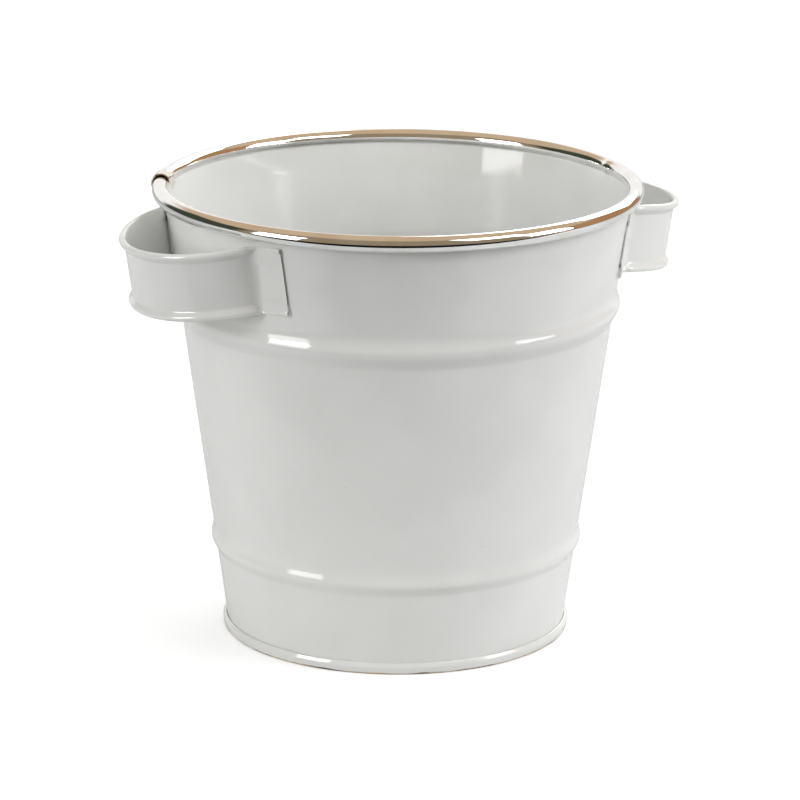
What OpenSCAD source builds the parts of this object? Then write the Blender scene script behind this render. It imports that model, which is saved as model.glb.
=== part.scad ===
// Small tapered sheet-steel florist bucket, with a chrome tube round its top edge and a strap
// handle on each side. The section of every sheet part is one bent line, given its thickness
// by outline(). The round parts turn that section about the bucket's axis, and the handles
// sweep it along the strap. Millimetres, +Z up, standing on Z = 0 with the handles along X.

/* [Bucket] */
// Outer diameter over the chrome rim
rim_d = 220; // [180:1:260]
// Height from the surface it stands on to the top of the rim
height = 206.6; // [170:0.1:240]
// Diameter of the wall where its slope reaches Z = 0
foot_d = 153; // [140:0.5:156]
// Thickness of the sheet that the wall and the base are made of
sheet_t = 0.6; // [0.5:0.05:0.8]

/* [Swaged ridges] */
// How far the upper ridge stands out from the wall
upper_proud = 2.4; // [1:0.1:3]
// Height of the crest of the upper ridge
upper_z = 151.5; // [140:0.5:154]
// How far the lower ridge stands out from the wall
lower_proud = 1.7; // [1:0.1:2.5]
// Height of the crest of the lower ridge
lower_z = 42.5; // [35:0.5:80]

/* [Rim] */
// Outer diameter of the chrome tube
tube_d = 7.2; // [6.5:0.1:8]
// Wall thickness of the chrome tube
tube_t = 0.8; // [0.6:0.05:0.9]
// Length of the clip over the joint in the tube
ferrule_l = 12; // [6:0.5:16]
// Direction of the clip, seen from above, counted from +X
ferrule_angle = 148.8; // [110:0.1:160]

/* [Base] */
// Height of the underside of the base above the surface it stands on
recess = 3.8; // [3:0.1:6]
// Height of the folded seam band round the foot
seam_h = 6.9; // [6.5:0.1:8]

/* [Handles] */
// Height of the strap, over both rolled edges
strap_h = 31; // [28:0.5:33]
// Thickness of the strap
strap_t = 0.6; // [0.5:0.05:0.8]
// Height of the middle of the strap where it meets the wall
strap_z = 180.2; // [179:0.1:181]
// How far the strap bows out from where it lies on the wall
bow_reach = 26.9; // [22:0.1:31]
// Radius of the bow seen from above
bow_r = 42; // [39:0.5:44]
// Angle by which the bow droops below level
droop = 9.2; // [8:0.1:11]
// How far the upper curled edge stands out from the strap
top_curl = 2; // [1.7:0.1:2.5]
// How far the lower curled edge stands out from the strap
low_curl = 1.9; // [1.7:0.1:2.5]
// Angle at the bucket's axis from the middle of a handle to the end of its tails
tail_angle = 32; // [31:0.5:36]
// Lean of the cut end of a tail, whose foot reaches further than its top
tail_lean = 3.8; // [0:0.1:8]
// Angle by which each handle sits round from the X axis towards -Y
handle_skew = 4.3; // [0:0.1:6]

/* [Hidden] */

eps = 0.01;
play = 0.1;                      // space left between two folded layers
tube_r = tube_d / 2;
ring_r = rim_d / 2 - tube_r;     // radius of the rim tube's centre line
ring_z = height - tube_r;        // height of the rim tube's centre line
top_wall_r = ring_r - 1.48;      // radius of the wall's cone level with the rim tube
slope = (top_wall_r - foot_d / 2) / ring_z;
taper = atan(slope);             // angle between the wall and the vertical
flare = 0.6;                     // how far the wall leaves its cone where it enters the tube
flare_from = ring_z - 17;        // height at which the wall starts to flare
flare_to = ring_z - 1;           // height at which it starts to curl inside the tube

// ---------------------------------------------------------------- bent lines

function unit(v) = v / norm(v);

function arc_points(centre, radius, from, to, steps) =
    [for (i = [0:steps])
        let (a = from + (to - from) * i / steps)
        centre + radius * [cos(a), sin(a)]];

// Turn from direction a to direction b the short way, in degrees
function short_turn(a, b) = b - a > 180 ? b - a - 360 : b - a < -180 ? b - a + 360 : b - a;

// Arc that rounds the corner at b, on the way from a to c
function corner_arc(a, b, c, radius, steps = 6) =
    let (u = unit(a - b), v = unit(c - b),
         half = acos(u * v) / 2,
         centre = b + unit(u + v) * radius / sin(half),
         p = b + u * radius / tan(half) - centre,
         q = b + v * radius / tan(half) - centre,
         from = atan2(p.y, p.x))
    arc_points(centre, radius, from, from + short_turn(from, atan2(q.y, q.x)), steps);

// Path from [x, y, corner radius] points; a radius of 0 keeps a point as it is
function rounded(points) =
    [for (i = [0:len(points) - 1])
        let (p = points[i], here = [p.x, p.y])
        if (p.z == 0) here
        else let (a = points[i - 1], c = points[i + 1])
            each corner_arc([a.x, a.y], here, [c.x, c.y], p.z)];

// Left-hand normal of a path at point i, lengthened at a corner so that edges stay parallel
function side(path, i) =
    let (last = len(path) - 1,
         u = unit(path[min(i + 1, last)] - path[min(i, last - 1)]),
         v = unit(path[max(i, 1)] - path[max(i - 1, 0)]),
         n = [-u.y - v.y, u.x + v.x])
    2 * n / (n * n);

// Outline of a sheet of thickness t bent along a path
function outline(path, t) =
    let (last = len(path) - 1)
    [for (i = [0:last]) path[i] + side(path, i) * t / 2,
     for (i = [last:-1:0]) path[i] - side(path, i) * t / 2];

module sheet(path, t) {
    polygon(outline(path, t));
}

// Point that stands out from the wall's outer face at height z
function off_wall(out, z) = [foot_d / 2 + slope * z + out, z];

// The same with a corner radius
function off_wall_r(out, z, radius) = concat(off_wall(out, z), radius);

// The same on the flared stretch under the rim
function off_flare(out, z) =
    off_wall(out + flare * (z - flare_from) / (flare_to - flare_from), z);

// ---------------------------------------------------------------- wall and base

// Corners of a swaged ridge, from below: run and step are how far above and below the crest
// the wall leaves its slope. The crest's corner stands out further than its rounding, and the
// roundings share the two flanks between them.
function ridge(z, proud, run, step) =
    let (out = proud * 1.25, tilt = atan(slope),
         rise = norm([slope * run - out, run]), up = tilt - atan(slope - out / run),
         fall = norm([slope * step + out, step]), down = atan(slope + out / step) - tilt)
    [off_wall_r(-sheet_t / 2, z - step, 0.15 * fall / tan(down / 2)),
     off_wall_r(-sheet_t / 2 + out, z, 0.4 * min(rise, fall) / tan((up + down) / 2)),
     off_wall_r(-sheet_t / 2, z + run, 0.52 * rise / tan(up / 2))];

function ridges() = concat(ridge(lower_z, lower_proud, 4.4, 5),
                           ridge(upper_z, upper_proud, 6, 6.5));

// Layers of the double seam, counted from the wall's outer face to each layer's middle
hook_in = play + sheet_t / 2;
hook_wall = 2 * play + 1.5 * sheet_t;
hook_out = 3 * play + 2.5 * sheet_t;
flange_z = 1.5 * sheet_t + 0.3;  // middle of the wall's flange
hook_top = seam_h - 2.7;         // height at which the outer layer starts to close in
fold_r = 0.35;                   // radius of the folds

function wall_path() =
    let (neck = off_flare(-sheet_t / 2, flare_to))
    concat(
        rounded(concat(
            [off_wall_r(hook_wall, hook_top, 0),
             off_wall_r(hook_wall, flange_z, fold_r),
             off_wall_r(-sheet_t / 2, flange_z, fold_r)],
            ridges(),
            [off_wall_r(-sheet_t / 2, flare_from, 90), concat(neck, 0)])),
        arc_points([ring_r, ring_z], ring_r - neck.x, 178, -70, 14));

module body_wall() {
    color("gainsboro") {
        rotate_extrude($fn = 180) sheet(wall_path(), sheet_t);
        side_seam();
    }
}

// Lapped joint where the sheet's two ends meet, under the right handle
module side_seam() {
    span = 3.2;                  // degrees
    lap = [0.45, 0];             // how far the outer end stands out over the inner one
    path = [for (p = rounded(concat(
        [off_wall_r(-sheet_t / 2, seam_h + 1, 0)],
        ridges(),
        [off_wall_r(-sheet_t / 2, flare_from, 0)]))) p + lap];
    rotate([0, 0, -handle_skew - span / 2])
        rotate_extrude(angle = span, $fn = 180) sheet(path, sheet_t);
}

module base_pan() {
    mid = recess + sheet_t / 2;
    sunk = -1.5 * sheet_t - play;
    path = rounded([
        [0, mid, 0],
        off_wall_r(sunk, mid, 1.2),
        off_wall_r(sunk, sheet_t / 2, 0.4),
        off_wall_r(hook_out, sheet_t / 2, 0.5),
        off_wall_r(hook_out, hook_top, 1.5),
        off_wall_r(hook_in, seam_h - sheet_t / 2, fold_r),
        off_wall_r(hook_in, flange_z + 0.8, 0)]);
    color("gainsboro") rotate_extrude($fn = 180) sheet(path, sheet_t);
}

// Ring of sealing compound between the wall's folded edge and the base
module base_seal() {
    inner = off_wall(-sheet_t + 0.2, sheet_t).x;
    outer = off_wall(hook_wall, sheet_t).x;
    color("dimgray") translate([0, 0, sheet_t + eps])
        rotate_extrude($fn = 180)
            translate([inner, 0]) square([outer - inner, 0.3 - 2 * eps]);
}

// ---------------------------------------------------------------- rim

module rim_tube() {
    gap = 0.4;                   // degrees between the tube's two ends
    color("silver")
        rotate([0, 0, ferrule_angle + gap / 2])
            rotate_extrude(angle = 360 - gap, $fn = 180)
                difference() {
                    translate([ring_r, ring_z]) circle(tube_r, $fn = 64);
                    translate([ring_r, ring_z]) circle(tube_r - tube_t, $fn = 64);
                    // Slot for the wall
                    sheet([off_flare(-sheet_t / 2, flare_from),
                           off_flare(-sheet_t / 2, flare_to)], sheet_t + 2 * play);
                }
}

// Clip bent over the joint, with a flat flap on the inner side
module rim_ferrule() {
    clip_t = 0.6;
    clip_r = tube_r + 0.25 + clip_t / 2;
    lift = 0.3;                  // how far the clip sits up on the tube
    span = ferrule_l / ring_r * 180 / PI;
    path = concat([[ring_r - clip_r - 1.1, ring_z - 2.4]],
                  arc_points([ring_r, ring_z + lift], clip_r, 155, -40, 18));
    color("silver")
        rotate([0, 0, ferrule_angle - span / 2])
            rotate_extrude(angle = span, $fn = 180) sheet(path, clip_t);
}

// ---------------------------------------------------------------- handles

// Section of the strap: a flat web whose edges curl out, round and down behind it. X is the
// way out from the web's outer face, Y is up the strap. Along a tail, flat runs up to 1: the
// curls are pressed down and the web sinks towards the wall between them.
fold_gap = 0.05;                                  // between the web and the layer behind it
strap_back = 2 * strap_t + fold_gap;              // depth from the web's outer face
curl_back = strap_t / 2 - strap_back;             // middle of the layer behind the web
curl_depth = 4.9;                                 // height of that layer
pressed = 0.15;                                   // what is left of a curl pressed flat
web_sunk = strap_t - 0.1;                         // how far the web sinks between the curls

// Upper curl, from the end of the layer behind the web, round the curl, to the web where it
// may sink; lean is the angle between the web and the flank that joins it, and blend is the
// radius between the two as a share of the curl's height
function curl(full, lean, blend, flat) =
    let (proud = full + (pressed - full) * flat,
         r = (proud - strap_t / 2 - curl_back) / 2,
         centre = [curl_back + r, (strap_h - strap_t) / 2 - r],
         round = arc_points(centre, r, 180, -lean, 7),
         foot = round[7],
         root = foot - [sin(lean), cos(lean)] * (foot.x + strap_t / 2) / sin(lean),
         web_y = strap_h / 2 - curl_depth)
    concat([[curl_back, web_y]], round,
           corner_arc(foot, root, [root.x, 0], proud * blend, 3),
           [[-strap_t / 2, web_y - 0.4], [-strap_t / 2 - web_sunk * flat, web_y - 3]]);

function strap_path(flat) =
    let (top = curl(top_curl, 38, 0.25, flat), last = len(top) - 1)
    concat([for (p = curl(low_curl, 40, 1, flat)) [p.x, -p.y]],
           [for (i = [last:-1:0]) top[i]]);

wall_gap = 0.05;                                  // paint between a tail and the wall
strap_wall_r = off_wall(wall_gap + strap_back, strap_z).x;
bow_x = strap_wall_r + bow_reach - bow_r;         // centre of the bow
bend_r = 6.5;                                     // bend between the bow and a tail
// Centre of the bend that touches both the bow and the wall
join_r = strap_wall_r + bend_r;
join_d = bow_r + bend_r;
join_angle = acos((join_r ^ 2 + bow_x ^ 2 - join_d ^ 2) / (2 * join_r * bow_x));
join = join_r * [cos(join_angle), sin(join_angle)];
bow_half = atan2(join.y, join.x - bow_x);         // half the angle that the bow turns through
bow_up = [sin(droop), 0, cos(droop)];

tail_rise = 0.65;                                 // share of the droop that the tails keep

// Height of the middle of the strap: it droops outwards, and the tails rise by less
function strap_height(x) =
    strap_z + tan(droop) * (strap_wall_r - x) * (x < strap_wall_r ? tail_rise : 1);

// One station of the strap's sweep: the middle of the web's outer face, the way out from it,
// the way up it, and how flat the strap is pressed there
function station(place, angle, up, flat, lean = 0) =
    let (out = [cos(angle), sin(angle), 0])
    [place, unit(out - (out * up) * up), up + tan(lean) * [sin(angle), -cos(angle), 0], flat];

function up_wall(angle) = [sin(taper) * cos(angle), sin(taper) * sin(angle), cos(taper)];

function tail_station(part) =
    let (angle = tail_angle + (join_angle - tail_angle) * part,
         z = strap_height(strap_wall_r * cos(angle)),
         r = off_wall(wall_gap + strap_back, z).x)
    station([r * cos(angle), r * sin(angle), z], angle, up_wall(angle), 1,
            tail_lean * (1 - part));

// Stations of a bend, where the strap turns from the wall's slope to the bow's droop
function bend_station(part) =
    let (angle = join_angle + (bow_half - join_angle) * part,
         p = join - bend_r * [cos(angle), sin(angle)],
         z = strap_height(p.x),
         ease = part * part * (3 - 2 * part),
         outset = (1 - ease) * slope * (z - strap_z))
    station([p.x + outset * cos(join_angle), p.y + outset * sin(join_angle), z], angle,
            unit((1 - ease) * up_wall(join_angle) + ease * bow_up), 1 - ease);

function bow_station(angle) =
    let (x = bow_x + bow_r * cos(angle))
    station([x, bow_r * sin(angle), strap_height(x)], angle, bow_up, 0);

tail_steps = 2;
bend_steps = 7;
bow_steps = 10;
half_strap = concat(
    [for (i = [0:tail_steps - 1]) tail_station(i / tail_steps)],
    [for (i = [0:bend_steps - 1]) bend_station(i / bend_steps)],
    [for (i = [0:bow_steps]) bow_station(bow_half * (1 - i / bow_steps))]);

open_tail = 0.45;                                 // the end at +Y is pressed only this far

// How far the tail at +Y is pressed at station i, as a share of the other tail
function pressing(i) = 1 - (1 - open_tail) * max(0, 1 - i / tail_steps) ^ 3;

function flipped(v) = [v.x, -v.y, v.z];

module handle() {
    stations = concat(
        [for (i = [0:len(half_strap) - 1])
            let (s = half_strap[i]) [s[0], s[1], s[2], s[3] * pressing(i)]],
        [for (i = [len(half_strap) - 2:-1:0])
            let (s = half_strap[i]) [flipped(s[0]), flipped(s[1]), flipped(s[2]), s[3]]]);
    rings = [for (s = stations) outline(strap_path(s[3]), strap_t)];
    n = len(rings[0]);
    last = (len(stations) - 1) * n;
    polyhedron(
        points = [for (i = [0:len(stations) - 1], q = rings[i])
            let (s = stations[i]) s[0] + q.x * s[1] + q.y * s[2]],
        faces = concat(
            [[for (j = [0:n - 1]) j]],
            [for (i = [0:n:last - n], j = [0:n - 1])
                let (k = (j + 1) % n)
                each [[i + j, i + n + j, i + k], [i + k, i + n + j, i + n + k]]],
            [[for (j = [n - 1:-1:0]) last + j]]));
}

module handle_right() {
    color("whitesmoke") rotate([0, 0, -handle_skew]) handle();
}

module handle_left() {
    color("whitesmoke") rotate([0, 0, 180 + handle_skew]) handle();
}

body_wall();
base_pan();
base_seal();
rim_tube();
rim_ferrule();
handle_left();
handle_right();
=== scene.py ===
"""Florist bucket: a tapered sheet-steel bucket in glossy white enamel, with a chrome tube
clipped over its top edge and a strap handle on each side. Every sheet part is a bent line of
its real thickness, swept round the bucket's axis or along a strap. Metres, +Z up."""

import math

import bmesh
import bpy
from mathutils import Matrix, Quaternion, Vector, noise


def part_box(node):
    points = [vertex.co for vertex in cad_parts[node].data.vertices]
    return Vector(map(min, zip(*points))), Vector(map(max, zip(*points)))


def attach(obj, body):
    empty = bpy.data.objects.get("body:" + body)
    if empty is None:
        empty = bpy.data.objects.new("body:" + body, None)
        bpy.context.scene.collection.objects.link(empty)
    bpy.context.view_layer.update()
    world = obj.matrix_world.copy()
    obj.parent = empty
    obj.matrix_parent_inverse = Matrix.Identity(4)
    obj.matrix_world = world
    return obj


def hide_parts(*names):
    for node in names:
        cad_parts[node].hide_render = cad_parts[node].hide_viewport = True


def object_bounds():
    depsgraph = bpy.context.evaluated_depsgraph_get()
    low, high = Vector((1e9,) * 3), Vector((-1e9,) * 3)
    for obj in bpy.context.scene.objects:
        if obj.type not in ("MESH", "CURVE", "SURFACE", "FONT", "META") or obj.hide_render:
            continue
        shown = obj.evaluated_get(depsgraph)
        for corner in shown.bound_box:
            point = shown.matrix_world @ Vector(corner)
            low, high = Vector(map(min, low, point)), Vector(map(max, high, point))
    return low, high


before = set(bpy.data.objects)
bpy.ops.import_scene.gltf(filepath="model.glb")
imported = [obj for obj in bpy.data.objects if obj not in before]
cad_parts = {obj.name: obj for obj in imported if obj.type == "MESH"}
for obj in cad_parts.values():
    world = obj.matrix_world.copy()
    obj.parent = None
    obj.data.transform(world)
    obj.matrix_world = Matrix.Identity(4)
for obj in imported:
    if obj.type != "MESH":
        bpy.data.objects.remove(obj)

cad_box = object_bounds()
MM = 0.001

# ------------------------------------------------------------------ camera and directions

CAMERA_AZIMUTH = -25.65      # degrees round the bucket, 0 looks along +Y
CAMERA_HEIGHT = 15.86        # degrees above the horizon
CAMERA_DISTANCE = 1.983
CAMERA_LENS = 196.77         # mm on the 36 mm sensor
CAMERA_ROLL = 0.344          # degrees
CAMERA_SHIFT = 0.0041        # fraction of the frame's width
AIM = Vector((0, 0, (cad_box[0].z + cad_box[1].z) / 2 + 0.3 * MM))


def toward(side, height):
    """Unit vector from the bucket, side degrees to the right of the camera."""
    a = math.radians(CAMERA_AZIMUTH + side)
    h = math.radians(height)
    return Vector((math.sin(a) * math.cos(h), -math.cos(a) * math.cos(h), math.sin(h)))


def make_camera():
    cam = bpy.data.objects.new("camera", bpy.data.cameras.new("camera"))
    bpy.context.scene.collection.objects.link(cam)
    back = toward(0, CAMERA_HEIGHT)
    cam.location = AIM + back * CAMERA_DISTANCE
    cam.rotation_mode = "QUATERNION"
    roll = Quaternion((0, 0, 1), math.radians(CAMERA_ROLL))
    cam.rotation_quaternion = (-back).to_track_quat("-Z", "Y") @ roll
    cam.data.lens = CAMERA_LENS
    cam.data.shift_x = CAMERA_SHIFT
    cam.data.clip_start, cam.data.clip_end = 0.1, 50
    bpy.context.scene.camera = cam


make_camera()

# ------------------------------------------------------------------ sizes

tube_lo, tube_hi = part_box("rim_tube")
pan_lo, pan_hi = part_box("base_pan")
TUBE_R = (tube_hi.z - tube_lo.z) / 2
RING_Z = tube_hi.z - TUBE_R
RING_R = tube_hi.y - TUBE_R
TUBE_T = 0.8 * MM
SHEET = 0.6 * MM
PLAY = 0.1 * MM
FOOT_R = 76.5 * MM                     # wall's outer face carried down to z = 0
SLOPE = (RING_R - 1.48 * MM - FOOT_R) / RING_Z
TAPER = math.atan(SLOPE)
FLARE = 0.6 * MM                       # how far the wall opens out under the rim
FLARE_FROM, FLARE_TO = RING_Z - 17 * MM, RING_Z - 1 * MM
FLARE_R = 90 * MM
FOLD_R = 0.35 * MM                     # radius of the tight folds in the double seam
SEAM_TOP = pan_hi.z
RECESS = 3.8 * MM                      # height of the bottom's underside
FERRULE_AT = 148.8                     # place of the clip, degrees from X
FERRULE_L = 12 * MM
SKEW = 4.3                             # each handle sits this far round from X towards -Y

# ------------------------------------------------------------------ bent lines


def arc(cx, cy, r, a0, a1, step=7.0):
    n = max(2, math.ceil(abs(a1 - a0) / step))
    return [(cx + r * math.cos(math.radians(a0 + (a1 - a0) * i / n)),
             cy + r * math.sin(math.radians(a0 + (a1 - a0) * i / n))) for i in range(n + 1)]


def corner(a, b, c, r):
    """Arc of radius r that rounds the corner b on the way from a to c."""
    a, b, c = Vector(a), Vector(b), Vector(c)
    u, v = (a - b).normalized(), (c - b).normalized()
    half = u.angle(v) / 2
    centre = b + (u + v).normalized() * r / math.sin(half)
    p = b + u * r / math.tan(half) - centre
    q = b + v * r / math.tan(half) - centre
    a0 = math.degrees(math.atan2(p.y, p.x))
    turn = (math.degrees(math.atan2(q.y, q.x)) - a0 + 180) % 360 - 180
    return arc(centre.x, centre.y, r, a0, a0 + turn)


def rounded(points):
    """Path from (x, y, corner radius) points; a radius of 0 keeps a point as it is."""
    out = []
    for i, (x, y, r) in enumerate(points):
        out += corner(points[i - 1][:2], (x, y), points[i + 1][:2], r) if r else [(x, y)]
    return out


def split(a, b, n):
    """Points that cut the way from a to b in n parts, without either end."""
    return [(a[0] + (b[0] - a[0]) * i / n, a[1] + (b[1] - a[1]) * i / n) for i in range(1, n)]


def dense(path, gap):
    """The same path with no two points further apart than gap."""
    out = [path[0]]
    for a, b in zip(path, path[1:]):
        n = max(1, math.ceil(math.dist(a, b) / gap))
        out += [(a[0] + (b[0] - a[0]) * i / n, a[1] + (b[1] - a[1]) * i / n)
                for i in range(1, n + 1)]
    return out


def two_faces(path, t):
    """The left and the right face of a sheet of thickness t bent along a path."""
    left, right, last = [], [], len(path) - 1
    for i, p in enumerate(path):
        u = (Vector(path[min(i + 1, last)]) - Vector(path[min(i, last - 1)])).normalized()
        v = (Vector(path[max(i, 1)]) - Vector(path[max(i - 1, 0)])).normalized()
        n = Vector((-u.y - v.y, u.x + v.x))
        n *= t / n.length_squared
        left.append((p[0] + n.x, p[1] + n.y))
        right.append((p[0] - n.x, p[1] - n.y))
    return left, right


def off_wall(out, z, r=0):
    """Point out from the wall's outer face at height z, with a corner radius."""
    return (FOOT_R + SLOPE * z + out, z, r)


def off_flare(out, z):
    """The same on the stretch under the rim, where the wall leaves its cone."""
    return off_wall(out + FLARE * (z - FLARE_FROM) / (FLARE_TO - FLARE_FROM), z)


# ------------------------------------------------------------------ sweeps

def turned(angles):
    """Stations that turn a section about the bucket's axis."""
    return [(Vector(), Vector((math.cos(a), math.sin(a), 0)), Vector((0, 0, 1)))
            for a in map(math.radians, angles)]


def around(steps):
    return [360 * i / steps for i in range(steps)]


def sheet(name, paths, t, stations, closed, mats, shape=None, sharp=35, bare=1.0):
    """A sheet of thickness t bent along a path and swept through the stations.
    A station is an origin, the direction of x and the direction of y; each has its own path,
    or one path serves them all. The first cut end takes the second material as far as bare
    from the middle of the section. shape(co, side, station) moves a point."""
    if isinstance(paths[0], tuple):
        paths = [paths] * len(stations)
    m, verts, faces, cut = len(paths[0]), [], [], []
    for k, (o, ex, ey) in enumerate(stations):
        left, right = two_faces(paths[k], t)
        for side, row in ((1, left), (-1, right)):
            for x, y in row:
                co = o + ex * x + ey * y
                verts.append(shape(co, side, k) if shape else co)
    n = len(stations)
    for k in range(n if closed else n - 1):
        a, b = k * 2 * m, (k + 1) % n * 2 * m
        for i in range(m - 1):
            faces.append((a + i, b + i, b + i + 1, a + i + 1))
            faces.append((a + m + i + 1, b + m + i + 1, b + m + i, a + m + i))
        faces.append((a + m, b + m, b, a))
        faces.append((a + m - 1, b + m - 1, b + 2 * m - 1, a + 2 * m - 1))
    if not closed:
        for k in (0, n - 1):
            a = k * 2 * m
            for i in range(m - 1):
                if k == 0 and abs(paths[k][i][1]) < bare:
                    cut.append(len(faces))
                faces.append((a + i, a + i + 1, a + m + i + 1, a + m + i))
    mesh = bpy.data.meshes.new(name)
    mesh.from_pydata(verts, [], faces)
    for f in cut:
        mesh.polygons[f].material_index = min(1, len(mats) - 1)
    bm = bmesh.new()
    bm.from_mesh(mesh)
    bmesh.ops.recalc_face_normals(bm, faces=bm.faces)
    bm.to_mesh(mesh)
    bm.free()
    return finished(name, mesh, mats, sharp)


def finished(name, mesh, mats, sharp):
    mesh.shade_smooth()
    mesh.set_sharp_from_angle(angle=math.radians(sharp))
    for mat in mats:
        mesh.materials.append(mat)
    obj = bpy.data.objects.new(name, mesh)
    bpy.context.scene.collection.objects.link(obj)
    return obj


def place(obj, node):
    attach(obj, "root")
    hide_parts(node)


# ------------------------------------------------------------------ materials

class Nodes:
    """Short way to write a node tree."""

    def __init__(self, tree):
        self.tree = tree
        tree.nodes.clear()

    def add(self, kind, inputs=None, **props):
        node = self.tree.nodes.new(kind)
        for key, value in props.items():
            setattr(node, key, value)
        for key, value in (inputs or {}).items():
            if isinstance(value, bpy.types.NodeSocket):
                self.tree.links.new(value, node.inputs[key])
            else:
                node.inputs[key].default_value = value
        return node

    def math(self, op, a, b):
        return self.add("ShaderNodeMath", {0: a, 1: b}, operation=op).outputs[0]

    def ramp(self, value, lo, hi, to_lo=0.0, to_hi=1.0):
        """Smooth step from to_lo to to_hi while value goes from lo to hi."""
        inputs = {"Value": value, "From Min": lo, "From Max": hi, "To Min": to_lo,
                  "To Max": to_hi}
        return self.add("ShaderNodeMapRange", inputs,
                        interpolation_type="SMOOTHSTEP").outputs[0]

    def mix(self, factor, a, b):
        node = self.add("ShaderNodeMix", data_type="RGBA")
        for socket, value in ((node.inputs[0], factor), (node.inputs[6], a),
                              (node.inputs[7], b)):
            if isinstance(value, bpy.types.NodeSocket):
                self.tree.links.new(value, socket)
            else:
                socket.default_value = value
        return node.outputs[2]

    def noise(self, vector, scale, detail=2.0, rough=0.5):
        inputs = {"Vector": vector, "Scale": scale, "Detail": detail, "Roughness": rough}
        return self.add("ShaderNodeTexNoise", inputs).outputs["Fac"]


def rgb(r, g, b):
    return (r, g, b, 1)


def material(name):
    mat = bpy.data.materials.new(name)
    mat.use_nodes = True
    return mat, Nodes(mat.node_tree)


def surface(n, **inputs):
    names = {key.replace("_", " "): value for key, value in inputs.items()}
    shader = n.add("ShaderNodeBsdfPrincipled", names)
    n.add("ShaderNodeOutputMaterial", {"Surface": shader.outputs[0]})


def bump(n, height, distance, normal=None):
    inputs = {"Height": height, "Distance": distance, "Strength": 1.0}
    if normal:
        inputs["Normal"] = normal
    return n.add("ShaderNodeBump", inputs).outputs[0]


def enamel(name, foot_band=False):
    """Glossy warm-white stove enamel with orange peel, faint mottling and dust nibs."""
    mat, n = material(name)
    at = n.add("ShaderNodeTexCoord").outputs["Object"]
    z = n.add("ShaderNodeSeparateXYZ", {0: at}).outputs[2]
    cloud = n.noise(at, 24, 3)
    fine = n.noise(at, 260, 2)
    colour = n.mix(n.ramp(cloud, 0.35, 0.65), rgb(0.825, 0.825, 0.81), rgb(0.86, 0.86, 0.845))
    nib = n.add("ShaderNodeTexVoronoi", {"Vector": at, "Scale": 95.0}).outputs["Distance"]
    speck = n.ramp(nib, 0.035, 0.02)
    colour = n.mix(n.math("MULTIPLY", speck, 0.35), colour, rgb(0.42, 0.39, 0.35))
    rough = n.ramp(fine, 0.3, 0.7, 0.05, 0.10)
    # Along the foot's bottom edge the colour turns to a ragged tan and dark-brown band with
    # rougher gloss.
    if foot_band:
        ragged = n.math("ADD", z, n.math("MULTIPLY", n.noise(at, 110, 4), 0.0012))
        foot_band_mask = n.ramp(ragged, 0.00145, 0.0012)
        band_colour = n.mix(n.ramp(n.noise(at, 45, 2), 0.5, 0.62), rgb(0.52, 0.37, 0.20),
                      rgb(0.12, 0.07, 0.04))
        colour = n.mix(foot_band_mask, colour, band_colour)
        rough = n.math("ADD", rough, n.math("MULTIPLY", foot_band_mask, 0.4))
    peel = bump(n, n.noise(at, 620, 1), 0.000007)
    wave = bump(n, n.noise(at, 38, 1), 0.00006, peel)
    surface(n, Base_Color=colour, Roughness=rough, Normal=wave, IOR=1.62)
    return mat


def chrome(name, bright=rgb(0.90, 0.91, 0.92), hazy=rgb(0.83, 0.82, 0.80)):
    """Bright nickel-chrome plate with faint lengthwise draw marks."""
    mat, n = material(name)
    at = n.add("ShaderNodeTexCoord").outputs["Object"]
    xyz = n.add("ShaderNodeSeparateXYZ", {0: at})
    turn = n.math("ARCTAN2", xyz.outputs[1], xyz.outputs[0])
    flat = n.add("ShaderNodeCombineXYZ", {0: xyz.outputs[0], 1: xyz.outputs[1]}).outputs[0]
    out = n.add("ShaderNodeVectorMath", {0: flat}, operation="LENGTH").outputs["Value"]
    drawn = n.add("ShaderNodeCombineXYZ", {0: n.math("MULTIPLY", turn, 0.012),
                                           1: out, 2: xyz.outputs[2]}).outputs[0]
    marks = n.noise(drawn, 1500, 2)
    haze = n.noise(at, 60, 3)
    colour = n.mix(n.ramp(haze, 0.35, 0.7), bright, hazy)
    rough = n.math("ADD", n.ramp(marks, 0.3, 0.75, 0.02, 0.07), n.ramp(haze, 0.5, 0.8, 0, 0.04))
    ripple = bump(n, n.noise(at, 45, 1), 0.00012)
    streak = bump(n, marks, 0.0000012, ripple)
    surface(n, Base_Color=colour, Metallic=1.0, Roughness=rough, Normal=streak)
    return mat


def raw_steel(name):
    mat, n = material(name)
    at = n.add("ShaderNodeTexCoord").outputs["Object"]
    grain = n.noise(at, 900, 4, 0.7)
    rust = n.noise(at, 130, 3)
    steel = n.mix(grain, rgb(0.26, 0.24, 0.23), rgb(0.50, 0.48, 0.46))
    colour = n.mix(n.ramp(rust, 0.5, 0.72), steel, rgb(0.26, 0.16, 0.10))
    surface(n, Base_Color=colour, Metallic=0.4, Roughness=n.ramp(grain, 0.2, 0.8, 0.3, 0.6),
            Normal=bump(n, grain, 0.00004))
    return mat


def sealant(name):
    mat, n = material(name)
    at = n.add("ShaderNodeTexCoord").outputs["Object"]
    lumps = n.noise(at, 400, 3)
    colour = n.mix(lumps, rgb(0.12, 0.12, 0.12), rgb(0.2, 0.2, 0.195))
    surface(n, Base_Color=colour, Roughness=n.ramp(lumps, 0.3, 0.7, 0.5, 0.75),
            Normal=bump(n, lumps, 0.0001))
    return mat


ENAMEL = enamel("white_enamel")
FOOT_ENAMEL = enamel("white_enamel_foot", foot_band=True)
CHROME = chrome("bright_chrome")
# The clip's plate is tinted warm khaki: a painted warm reflection of the room.
CLIP_PAINTED_REFLECTION = chrome("clip_plate_painted_reflection", rgb(0.82, 0.76, 0.67), rgb(0.72, 0.66, 0.57))
STEEL = raw_steel("cut_steel")

# ------------------------------------------------------------------ wall and base

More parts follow.
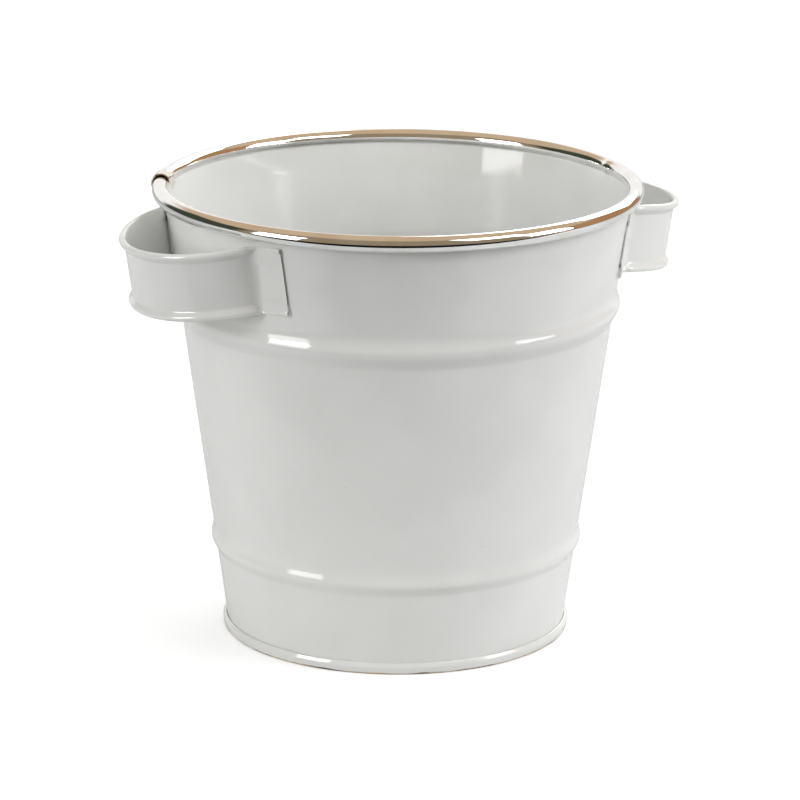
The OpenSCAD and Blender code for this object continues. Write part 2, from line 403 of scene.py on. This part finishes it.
HOOK_IN = PLAY + SHEET / 2
HOOK_WALL = 2 * PLAY + 1.5 * SHEET
HOOK_OUT = 3 * PLAY + 2.5 * SHEET
FLANGE_Z = 1.5 * SHEET + 0.3 * MM
HOOK_TOP = SEAM_TOP - 2.7 * MM         # height at which the outer layer starts to close in

# Each ridge: height of its crest, how far it stands out, and how far above and below the crest
# the wall leaves its slope
LOWER_RIDGE = (42.5 * MM, 1.7 * MM, 4.4 * MM, 5 * MM)
UPPER_RIDGE = (151.5 * MM, 2.4 * MM, 6 * MM, 6.5 * MM)
CREST_OVER = 1.25                      # how much further than its rounding the corner stands
FOOT_SHARE, CREST_SHARE, TOP_SHARE = 0.15, 0.4, 0.52    # part of a flank each rounding takes

LAP_HALF, LAP_OUT = 1.6, 0.45 * MM     # side seam's lap: half its width in degrees, its height
LAP_STEPS = (-0.5, -0.25, -0.12, 0, 0.12, 0.25, 0.5)    # finer stations at the lap's edges
WALL_STATIONS = 300
UNEVEN = 0.09 * MM                     # how far rolled sheet strays from its form


def ridge(z, proud, run, step):
    """Corners of a swaged ridge, from below. The roundings share its two flanks."""
    mid, out = -SHEET / 2, proud * CREST_OVER
    rise, up = math.hypot(SLOPE * run - out, run), TAPER - math.atan(SLOPE - out / run)
    fall, down = math.hypot(SLOPE * step + out, step), math.atan(SLOPE + out / step) - TAPER
    crest = CREST_SHARE * min(rise, fall)
    return [off_wall(mid, z - step, FOOT_SHARE * fall / math.tan(down / 2)),
            off_wall(mid + out, z, crest / math.tan((up + down) / 2)),
            off_wall(mid, z + run, TOP_SHARE * rise / math.tan(up / 2))]


def wobble(co):
    """Slight unevenness of rolled sheet, faded out at the foot and the rim."""
    fade = min(1, max(0, (co.z - 8 * MM) / (12 * MM)),
               max(0, (RING_Z - 8 * MM - co.z) / (14 * MM)))
    push = noise.noise(Vector((co.x, co.y, co.z * 0.6)) * 22) * UNEVEN * fade
    flat = Vector((co.x, co.y, 0))
    return co + flat.normalized() * push


def make_wall():
    neck = off_flare(-SHEET / 2, FLARE_TO)
    path = rounded(
        [off_wall(HOOK_WALL, HOOK_TOP), off_wall(HOOK_WALL, FLANGE_Z, FOLD_R),
         off_wall(-SHEET / 2, FLANGE_Z, FOLD_R)]
        + ridge(*LOWER_RIDGE) + ridge(*UPPER_RIDGE)
        + [off_wall(-SHEET / 2, FLARE_FROM, FLARE_R), neck])
    path = dense(path, 3 * MM) + arc(RING_R, RING_Z, RING_R - neck[0], 178, -60, 15)
    angles = around(WALL_STATIONS)
    for edge in (-SKEW - LAP_HALF, -SKEW + LAP_HALF):
        angles += [(edge + d) % 360 for d in LAP_STEPS]
    angles = sorted(set(angles))

    def shape(co, side, k):
        co = wobble(co)
        off = abs((angles[k] + SKEW + 180) % 360 - 180)
        part = min(1, max(0, (LAP_HALF + 0.15 - off) / 0.3))
        ends = min(1, max(0, (co.z - SEAM_TOP) / (1.5 * MM)),
                   max(0, (RING_Z - 6 * MM - co.z) / (2 * MM)))
        if side < 0 and part * ends > 0:
            ease = part * part * (3 - 2 * part) * ends
            co = co + Vector((co.x, co.y, 0)).normalized() * LAP_OUT * ease
        return co

    wall = sheet("body_wall_sheet", path, SHEET, turned(angles), True, [ENAMEL], shape)
    place(wall, "body_wall")


def make_base():
    mid = RECESS + SHEET / 2
    sunk = -1.5 * SHEET - PLAY
    path = rounded([
        (0.4 * MM, mid, 0), off_wall(sunk, mid, 1.2 * MM), off_wall(sunk, SHEET / 2, 0.4 * MM),
        off_wall(HOOK_OUT, SHEET / 2, 0.5 * MM), off_wall(HOOK_OUT, HOOK_TOP, 1.5 * MM),
        off_wall(HOOK_IN, SEAM_TOP - SHEET / 2, FOLD_R), off_wall(HOOK_IN, FLANGE_Z + 0.8 * MM)])
    path = dense(path, 3.5 * MM)
    pan = sheet("base_pan_sheet", path, SHEET, turned(around(WALL_STATIONS)), True,
                [FOOT_ENAMEL])
    place(pan, "base_pan")


make_wall()
make_base()

# ------------------------------------------------------------------ rim

# Place and width in degrees, then depth or height
KINK = (-2.0, 1.5, 0.5 * MM)           # small kink where the ring was bent round
LIP = (178.0, 2.6, 0.6 * MM)           # where the slot's outer lip stands proud
SLOT_HALF = 9                          # half the slot's width, degrees round the tube
JOINT_GAP = 0.2                        # from the joint to either end of the tube, degrees
TUBE_STEPS = 480

CLIP_T = 0.6 * MM
CLIP_LIFT = 0.3 * MM                   # how far the clip's open end stands up off the tube
CLIP_STEPS = 24


def bell(turn, at, width):
    off = (turn - at + 180) % 360 - 180
    return math.exp(-(off / width) ** 2)


def make_tube():
    slot = math.degrees(math.atan2(-TUBE_R, -1.3 * MM))
    path = arc(0, 0, TUBE_R - TUBE_T / 2, slot + SLOT_HALF, slot + 360 - SLOT_HALF, 5.5)
    path = [(RING_R + x, RING_Z + y) for x, y in path]
    angles = [FERRULE_AT + JOINT_GAP + (360 - 2 * JOINT_GAP) * i / TUBE_STEPS
              for i in range(TUBE_STEPS + 1)]

    def shape(co, side, k):
        flat = Vector((co.x, co.y, 0))
        away = flat.length - RING_R
        low = min(1, max(0, (RING_Z - co.z) / TUBE_R)) * min(1, max(0, away / TUBE_R))
        push = LIP[2] * bell(angles[k], *LIP[:2]) * low - KINK[2] * bell(angles[k], *KINK[:2])
        return co + flat.normalized() * push

    tube = sheet("rim_tube_chrome", path, TUBE_T, turned(angles), False, [CHROME], shape, 50)
    place(tube, "rim_tube")


def make_ferrule():
    """Clip over the joint: tight at its far end, open at the end towards the left handle."""
    half = math.degrees(FERRULE_L / RING_R) / 2
    paths = []
    for i in range(CLIP_STEPS + 1):
        mouth = (i / CLIP_STEPS) ** 2
        r = TUBE_R + (0.05 + 0.2 * mouth) * MM + CLIP_T / 2
        up = CLIP_LIFT * (0.2 + 0.8 * mouth)
        flap = (RING_R - r - (0.8 + 0.25 * mouth) * MM, RING_Z - 2.4 * MM)
        turn = arc(RING_R, RING_Z + up, r, 155, -40, 9)
        paths.append([flap] + split(flap, turn[0], 5) + turn)
    angles = [FERRULE_AT - half + 2 * half * i / CLIP_STEPS for i in range(CLIP_STEPS + 1)]
    clip = sheet("rim_ferrule_clip", paths, CLIP_T, turned(angles), False, [CLIP_PAINTED_REFLECTION], sharp=25)
    place(clip, "rim_ferrule")


make_tube()
make_ferrule()

# ------------------------------------------------------------------ handles

STRAP_H = 31 * MM
STRAP_T = 0.6 * MM
STRAP_Z = 180.2 * MM
GAP = 0.05 * MM                        # between the strap's layers, and between it and the wall
STRAP_BACK = 2 * STRAP_T + GAP         # depth of the web and the layer behind it
TOP_CURL, LOW_CURL = 2.0 * MM, 1.9 * MM    # how far each curl stands out from the web
CURL_DEPTH = 4.9 * MM                  # how far in from the strap's edge that layer reaches
PRESSED = 0.15 * MM                    # what is left of a curl pressed flat on a tail
WEB_SUNK = STRAP_T - 0.1 * MM          # how far the web sinks there between the curls
OPEN_TAIL = 0.45                       # the end at +Y is pressed only this far
BOW_REACH = 26.9 * MM                  # how far the bow stands off the wall
BOW_R = 42 * MM
BEND_R = 6.5 * MM
DROOP = math.radians(9.2)
TAIL_DROOP = 0.65                      # the share of the droop that the tails keep
TAIL_ANGLE = math.radians(32)
TAIL_LEAN = math.radians(3.8)
STRAP_WALL_R = off_wall(GAP + STRAP_BACK, STRAP_Z)[0]
BOW_X = STRAP_WALL_R + BOW_REACH - BOW_R
TAIL_STEPS, BEND_STEPS, BOW_STEPS = 10, 22, 32


def curl(full, lean, blend, flat):
    """Upper curl of the strap, from its free edge behind the web to where the web may sink.
    lean is the angle between the web and the flank that joins it, blend the radius between the
    two as a share of the curl's height, and flat how far the curl is pressed, from 0 to 1."""
    proud = full + (PRESSED - full) * flat
    back = STRAP_T / 2 - STRAP_BACK
    r = (proud - STRAP_T / 2 - back) / 2
    cx, cy = back + r, (STRAP_H - STRAP_T) / 2 - r
    turn = arc(cx, cy, r, 180, -lean)
    a = math.radians(lean)
    reach = (turn[-1][0] + STRAP_T / 2) / math.sin(a)
    root = (-STRAP_T / 2, turn[-1][1] - math.cos(a) * reach)
    web_y = STRAP_H / 2 - CURL_DEPTH
    free = (back, web_y)
    foot = corner(turn[-1], root, (root[0], 0), proud * blend)
    web = (-STRAP_T / 2, web_y - 0.4 * MM)
    sunk = (-STRAP_T / 2 - WEB_SUNK * flat, web_y - 3 * MM)
    return ([free] + split(free, turn[0], 4) + turn + split(turn[-1], foot[0], 3) + foot + [web]
            + split(web, sunk, 4) + [sunk])


def strap_path(flat):
    """Web whose edges curl out, round and down behind it; x is outwards, y is up."""
    low = [(x, -y) for x, y in curl(LOW_CURL, 40, 1, flat)]
    top = curl(TOP_CURL, 38, 0.25, flat)[::-1]
    return low + split(low[-1], top[0], 12) + top


def strap_stations():
    """Stations of one strap from its tail at +Y round the bow to its tail at -Y, each with how
    far the curls are pressed there: a tail on the wall, a bend, half the bow, and its mirror."""
    join_r, join_d = STRAP_WALL_R + BEND_R, BOW_R + BEND_R
    join_a = math.acos((join_r ** 2 + BOW_X ** 2 - join_d ** 2) / (2 * join_r * BOW_X))
    jx, jy = join_r * math.cos(join_a), join_r * math.sin(join_a)
    bow_half = math.atan2(jy, jx - BOW_X)
    bow_up = Vector((math.sin(DROOP), 0, math.cos(DROOP)))

    def height(x):
        share = TAIL_DROOP if x < STRAP_WALL_R else 1
        return STRAP_Z + math.tan(DROOP) * (STRAP_WALL_R - x) * share

    def up_wall(a):
        return Vector((math.sin(TAPER) * math.cos(a), math.sin(TAPER) * math.sin(a),
                       math.cos(TAPER)))

    def station(x, y, z, a, up, flat, lean=0):
        out = Vector((math.cos(a), math.sin(a), 0))
        leaning = up + math.tan(lean) * Vector((math.sin(a), -math.cos(a), 0))
        return Vector((x, y, z)), (out - out.dot(up) * up).normalized(), leaning, flat

    half = []
    for i in range(TAIL_STEPS):
        a = TAIL_ANGLE + (join_a - TAIL_ANGLE) * i / TAIL_STEPS
        z = height(STRAP_WALL_R * math.cos(a))
        r = off_wall(GAP + STRAP_BACK, z)[0]
        half.append(station(r * math.cos(a), r * math.sin(a), z, a, up_wall(a), 1,
                            TAIL_LEAN * (1 - i / TAIL_STEPS)))
    for i in range(BEND_STEPS):
        part = i / BEND_STEPS
        a = join_a + (bow_half - join_a) * part
        x, y = jx - BEND_R * math.cos(a), jy - BEND_R * math.sin(a)
        z = height(x)
        ease = part * part * (3 - 2 * part)
        outset = (1 - ease) * SLOPE * (z - STRAP_Z)
        up = ((1 - ease) * up_wall(join_a) + ease * bow_up).normalized()
        half.append(station(x + outset * math.cos(join_a), y + outset * math.sin(join_a), z, a,
                            up, 1 - ease))
    for i in range(BOW_STEPS + 1):
        a = bow_half * (1 - i / BOW_STEPS)
        x = BOW_X + BOW_R * math.cos(a)
        half.append(station(x, BOW_R * math.sin(a), height(x), a, bow_up, 0))
    flip = Matrix.Diagonal((1, -1, 1))
    press = [1 - (1 - OPEN_TAIL) * max(0, 1 - i / TAIL_STEPS) ** 3 for i in range(len(half))]
    return ([(*s[:3], s[3] * p) for s, p in zip(half, press)]
            + [(*[flip @ v for v in s[:3]], s[3]) for s in reversed(half[:-1])])


def make_handle(name, node, turn):
    spin = Matrix.Rotation(math.radians(turn), 3, "Z")
    swept = strap_stations()
    stations = [tuple(spin @ v for v in s[:3]) for s in swept]
    paths = [strap_path(s[3]) for s in swept]
    strap = sheet(name, paths, STRAP_T, stations, False, [ENAMEL, STEEL],
                  bare=STRAP_H / 2 - CURL_DEPTH)
    place(strap, node)


make_handle("handle_strap_right", "handle_right", -SKEW)
make_handle("handle_strap_left", "handle_left", 180 + SKEW)

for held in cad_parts["base_seal"].material_slots:
    held.material = sealant("seam_sealant")

# ------------------------------------------------------------------ stage

FLOOR_LIFT = 0.45            # brings the pale floor up to white for the camera
FLOOR_NEAR, FLOOR_WIDE, FLOOR_FAR = 0.34, 3.0, 4.0    # how far the floor runs each way
WINDOW_AWAY, PANE_AWAY = 1.8, 1.75                    # from the bucket to the lights

# The room as polished metal shows it
WARM_WHITE, TAN, BROWN = rgb(1, 0.975, 0.94), rgb(0.60, 0.44, 0.29), rgb(0.42, 0.23, 0.11)
OLIVE, DARK_GREEN = rgb(0.30, 0.235, 0.155), rgb(0.05, 0.06, 0.04)
BLACK = rgb(0.01, 0.01, 0.012)
# The even light on matt surfaces
EVEN_LOW, EVEN_HIGH = rgb(0.84, 0.87, 0.89), rgb(0.62, 0.62, 0.60)
EVEN_FRONT, EVEN_BELOW = rgb(0.29, 0.29, 0.28), rgb(0.012, 0.012, 0.012)


def add_floor():
    """Plain pale sheet that ends a little in front of the bucket and runs far behind it."""
    mat, n = material("pale_floor")
    at = n.add("ShaderNodeTexCoord").outputs["Object"]
    tone = n.mix(n.noise(at, 3, 2), rgb(0.71, 0.71, 0.71), rgb(0.73, 0.73, 0.725))
    diffuse = n.add("ShaderNodeBsdfDiffuse", {"Color": tone})
    seen = n.add("ShaderNodeLightPath").outputs["Is Camera Ray"]
    glow = n.add("ShaderNodeEmission", {"Color": rgb(1, 1, 1),
                                        "Strength": n.math("MULTIPLY", seen, FLOOR_LIFT)})
    both = n.add("ShaderNodeAddShader", {0: diffuse.outputs[0], 1: glow.outputs[0]})
    n.add("ShaderNodeOutputMaterial", {"Surface": both.outputs[0]})
    front, right = toward(0, 0), toward(90, 0)
    corners = [front * FLOOR_NEAR - right * FLOOR_WIDE, front * FLOOR_NEAR + right * FLOOR_WIDE,
               -front * FLOOR_FAR + right * FLOOR_WIDE, -front * FLOOR_FAR - right * FLOOR_WIDE]
    mesh = bpy.data.meshes.new("floor")
    mesh.from_pydata([Vector((c.x, c.y, pan_lo.z - 0.02 * MM)) for c in corners], [],
                     [(0, 1, 2, 3)])
    mesh.materials.append(mat)
    floor = bpy.data.objects.new("floor", mesh)
    bpy.context.scene.collection.objects.link(floor)


def add_window(name, side, height, distance, width, tall, glow, tint, glossy_only=False):
    """Rectangular light that faces the bucket from side and height degrees; glow is its
    radiance. A glossy_only one shows in reflections and lights nothing."""
    lamp = bpy.data.lights.new(name, "AREA")
    lamp.shape = "RECTANGLE"
    lamp.size, lamp.size_y = width, tall
    lamp.energy = glow * math.pi * width * tall
    lamp.color = tint
    obj = bpy.data.objects.new(name, lamp)
    way = toward(side, height)
    obj.location = AIM + way * distance
    obj.rotation_mode = "QUATERNION"
    obj.rotation_quaternion = (-way).to_track_quat("-Z", "Y")
    obj.visible_camera = False
    obj.visible_diffuse = not glossy_only
    bpy.context.scene.collection.objects.link(obj)


def make_world():
    """Studio that only the surfaces see: the camera itself sees plain white. Polished metal
    sees the room's colours, and matt surfaces get its even light."""
    world = bpy.data.worlds.new("studio")
    bpy.context.scene.world = world
    world.use_nodes = True
    n = Nodes(world.node_tree)
    way = n.add("ShaderNodeTexCoord").outputs["Generated"]

    def along(v):
        inputs = {0: way, 1: tuple(v)}
        return n.add("ShaderNodeVectorMath", inputs, operation="DOT_PRODUCT").outputs["Value"]

    up = n.add("ShaderNodeSeparateXYZ", {0: way}).outputs[2]
    ahead, right = along(toward(0, 0)), along(toward(90, 0))
    low = n.ramp(up, 0.62, 0.5)
    behind = n.mix(n.ramp(up, 0.36, 0.56), WARM_WHITE, TAN)
    left = n.math("MULTIPLY", n.ramp(right, -0.6, -0.74), low)
    behind = n.mix(left, behind, DARK_GREEN)
    brown = n.math("MULTIPLY", n.ramp(right, 0.40, 0.52), low)
    behind = n.mix(brown, behind, BROWN)
    front = n.mix(n.ramp(up, 0.72, 0.9), OLIVE, TAN)
    front = n.mix(n.ramp(up, -0.12, -0.2), front, BLACK)
    colours = n.mix(n.ramp(ahead, 0.12, 0.3), behind, front)
    even_back = n.mix(n.ramp(up, 0.05, 0.5), EVEN_LOW, EVEN_HIGH)
    even_front = n.mix(n.ramp(up, -0.02, -0.06), EVEN_FRONT, EVEN_BELOW)
    even = n.mix(n.ramp(ahead, -0.3, 0.2), even_back, even_front)
    rays = n.add("ShaderNodeLightPath").outputs
    seen = n.mix(rays["Is Glossy Ray"], even, colours)
    seen = n.mix(rays["Is Camera Ray"], seen, rgb(1, 1, 1))
    shader = n.add("ShaderNodeBackground", {"Color": seen, "Strength": 1.0})
    n.add("ShaderNodeOutputWorld", {"Surface": shader.outputs[0]})


add_floor()
make_world()
add_window("window_left", -56, 17, WINDOW_AWAY, 0.72, 1.05, 5.1, (0.99, 1.0, 0.99))
add_window("window_right", 74, 25, WINDOW_AWAY, 0.76, 0.85, 5.0, (0.98, 0.99, 1.0))
add_window("softbox_high", 50, 44, WINDOW_AWAY, 0.8, 0.6, 4.3, (0.99, 1.0, 1.0))
add_window("softbox_back", 155, 32, WINDOW_AWAY, 1.2, 0.9, 3.2, (0.99, 0.99, 1.0))
# Panes that only show up as crisp highlights on glossy surfaces
add_window("pane_left", -56, 21, PANE_AWAY, 0.62, 0.42, 13.0, (1, 1, 1), glossy_only=True)
add_window("pane_right", 74, 22, PANE_AWAY, 0.45, 0.42, 11.0, (1, 1, 1), glossy_only=True)
bpy.context.scene.view_settings.view_transform = "Standard"
